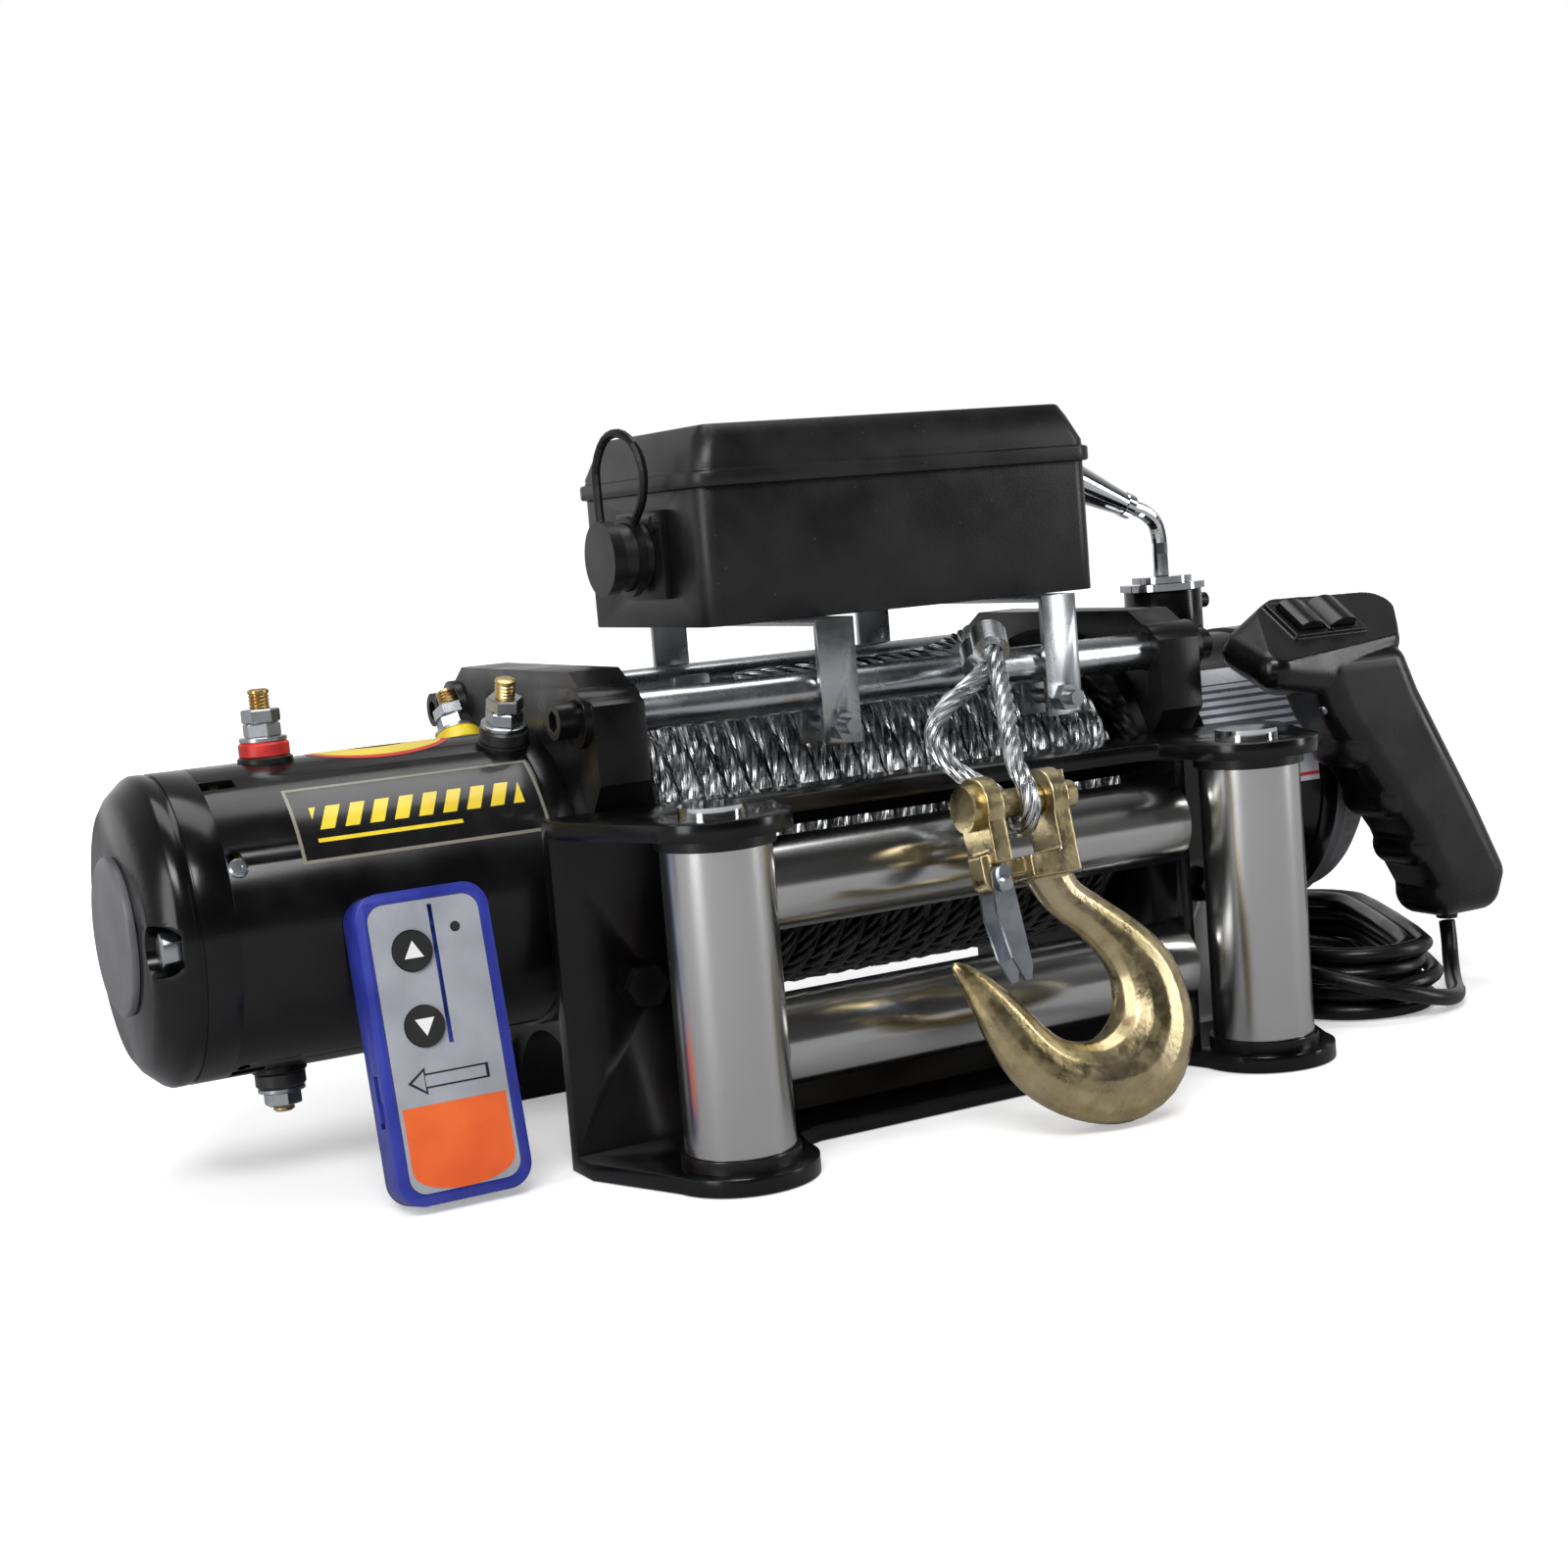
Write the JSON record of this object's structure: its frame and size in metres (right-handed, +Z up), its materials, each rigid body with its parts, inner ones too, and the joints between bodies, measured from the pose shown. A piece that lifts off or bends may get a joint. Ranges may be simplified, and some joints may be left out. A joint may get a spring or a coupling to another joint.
{
  "type": "electric drum winch",
  "caption": "Electric drum winch with steel rope, roller fairlead, clevis hook, control box, wired handset and pocket remote.",
  "frame": {"origin": "centre of the rectangle of four mounting holes, on the plane of the feet, under the middle of the drum", "axes": "+X along the drum axis towards the gearbox, -Y towards the fairlead, +Z up"},
  "size_m": [0.5734, 0.2614, 0.2628],
  "materials": {
    "black_gloss": "gloss black enamel",
    "black_cast": "gloss black on a casting",
    "box_plastic": "fine moulded texture",
    "handset_plastic": "satin black",
    "black_rubber": "matt",
    "zinc": "bright zinc plate",
    "roller_zinc": "turned and zinc plated",
    "chrome": "polished",
    "stud_brass": "satin",
    "bronze": "sintered",
    "copper": "enamelled wire",
    "steel": "machined",
    "rope_steel": "galvanised strands",
    "hook_zinc": "yellow zinc plate",
    "insulator": "coloured insulator",
    "dark_grey": "satin dark grey",
    "board_green": "solder mask",
    "remote_blue": "satin blue",
    "remote_grey": "printed face",
    "button_black": "soft black"
  },
  "bodies": {
    "winch": {"motor_case": "black_gloss", "motor_end_cap": "black_gloss", "end_plug": "dark_grey", "through_bolts": "zinc", "pole_shoes": "steel", "field_windings": "copper", "brush_ring": "bronze", "terminal_studs": "stud_brass", "terminal_insulators": "insulator", "drum_support_motor": "black_cast", "drum_support_gear": "black_cast", "tie_bars": "zinc", "support_bolts": "black_rubber", "drum_bushes": "bronze", "gear_housing": "black_gloss", "gear_end_cover": "dark_grey", "ring_gear": "steel", "clutch_housing": "black_gloss", "box_body": "box_plastic", "box_lid": "box_plastic", "contactor": "steel", "receiver_board": "board_green", "box_brackets": "zinc", "bracket_bolts": "zinc", "handset_socket": "box_plastic", "fairlead_frame": "black_gloss", "roller_pins": "chrome", "roller_bushes": "black_rubber", "rope_lead": "rope_steel", "eye_fittings": "zinc", "handset_shell": "handset_plastic", "strain_relief": "black_rubber", "handset_cord": "black_rubber", "cord_hank": "black_rubber", "cord_connector": "handset_plastic", "remote_body": "remote_blue", "remote_face": "remote_grey"},
    "armature": {"drive_shaft": "steel", "armature_core": "steel", "armature_copper": "copper", "brake_cone": "steel"},
    "first_stage": {"carrier_first": "steel"},
    "second_stage": {"carrier_second": "steel"},
    "drum_body": {"drum": "black_gloss", "rope_core": "rope_steel", "rope_winding": "rope_steel", "carrier_third": "steel"},
    "clutch": {"clutch_lever": "chrome"},
    "roller_l": {"roller_left": "roller_zinc"},
    "roller_r": {"roller_right": "roller_zinc"},
    "roller_u": {"roller_upper": "roller_zinc"},
    "roller_d": {"roller_lower": "roller_zinc"},
    "hook_body": {"hook": "hook_zinc", "clevis_pin": "hook_zinc"},
    "latch": {"hook_latch": "zinc"},
    "rocker": {"handset_rocker": "handset_plastic"},
    "button_up": {"remote_up": "button_black"},
    "button_down": {"remote_down": "button_black"},
    "power_slide": {"remote_switch": "remote_blue"},
    "dust_cap": {"socket_cap": "black_rubber"}
  },
  "joints": [
    {"name": "armature_spin", "type": "hinge", "parent": "winch", "child": "armature", "pos_m": [0, 0, 0.096], "axis": [1, 0, 0], "continuous": true},
    {"name": "first_stage_spin", "type": "hinge", "parent": "winch", "child": "first_stage", "pos_m": [0, 0, 0.096], "axis": [1, 0, 0], "continuous": true},
    {"name": "second_stage_spin", "type": "hinge", "parent": "winch", "child": "second_stage", "pos_m": [0, 0, 0.096], "axis": [1, 0, 0], "continuous": true},
    {"name": "drum_spin", "type": "hinge", "parent": "winch", "child": "drum_body", "pos_m": [0, 0, 0.096], "axis": [1, 0, 0], "continuous": true},
    {"name": "clutch_turn", "type": "hinge", "parent": "winch", "child": "clutch", "pos_m": [0.175, 0, 0.18], "axis": [0, 0, 1], "range_deg": [0, 90]},
    {"name": "roller_left_spin", "type": "hinge", "parent": "winch", "child": "roller_l", "pos_m": [-0.115, -0.126, 0.063], "axis": [0, 0, 1], "continuous": true},
    {"name": "roller_right_spin", "type": "hinge", "parent": "winch", "child": "roller_r", "pos_m": [0.115, -0.126, 0.063], "axis": [0, 0, 1], "continuous": true},
    {"name": "roller_upper_spin", "type": "hinge", "parent": "winch", "child": "roller_u", "pos_m": [0, -0.104, 0.0953], "axis": [1, 0, 0], "continuous": true},
    {"name": "roller_lower_spin", "type": "hinge", "parent": "winch", "child": "roller_d", "pos_m": [0, -0.104, 0.0389], "axis": [1, 0, 0], "continuous": true},
    {"name": "hook_swing", "type": "hinge", "parent": "winch", "child": "hook_body", "pos_m": [-0.005, -0.143, 0.117], "axis": [1, 0, 0], "range_deg": [-50, 0]},
    {"name": "latch_open", "type": "hinge", "parent": "hook_body", "child": "latch", "pos_m": [-0.01994, -0.14868, 0.09241], "axis": [0, 0.9744, -0.225], "range_deg": [-24, 0], "stiffness_Nm_per_rad": 0.03, "springref_deg": 14.32},
    {"name": "rocker_rock", "type": "hinge", "parent": "winch", "child": "rocker", "pos_m": [0.193, -0.079, 0.1655], "axis": [0, 0.829, 0.5592], "range_deg": [-6, 6], "stiffness_Nm_per_rad": 0.2},
    {"name": "remote_up_press", "type": "slide", "parent": "winch", "child": "button_up", "axis": [0, 0.9781, -0.2079], "range_m": [0, 0.0012], "stiffness_N_per_m": 600},
    {"name": "remote_down_press", "type": "slide", "parent": "winch", "child": "button_down", "axis": [0, 0.9781, -0.2079], "range_m": [0, 0.0012], "stiffness_N_per_m": 600},
    {"name": "remote_power_slide", "type": "slide", "parent": "winch", "child": "power_slide", "axis": [0, 0.2079, 0.9781], "range_m": [0, 0.007]},
    {"name": "dust_cap_pull", "type": "slide", "parent": "winch", "child": "dust_cap", "axis": [-1, 0, 0], "range_m": [0, 0.008]}
  ],
  "couplings": [
    {"joint": "first_stage_spin", "follows": "armature_spin", "ratio": 0.15789},
    {"joint": "second_stage_spin", "follows": "armature_spin", "ratio": 0.024931},
    {"joint": "drum_spin", "follows": "armature_spin", "ratio": 0.0039364}
  ]
}
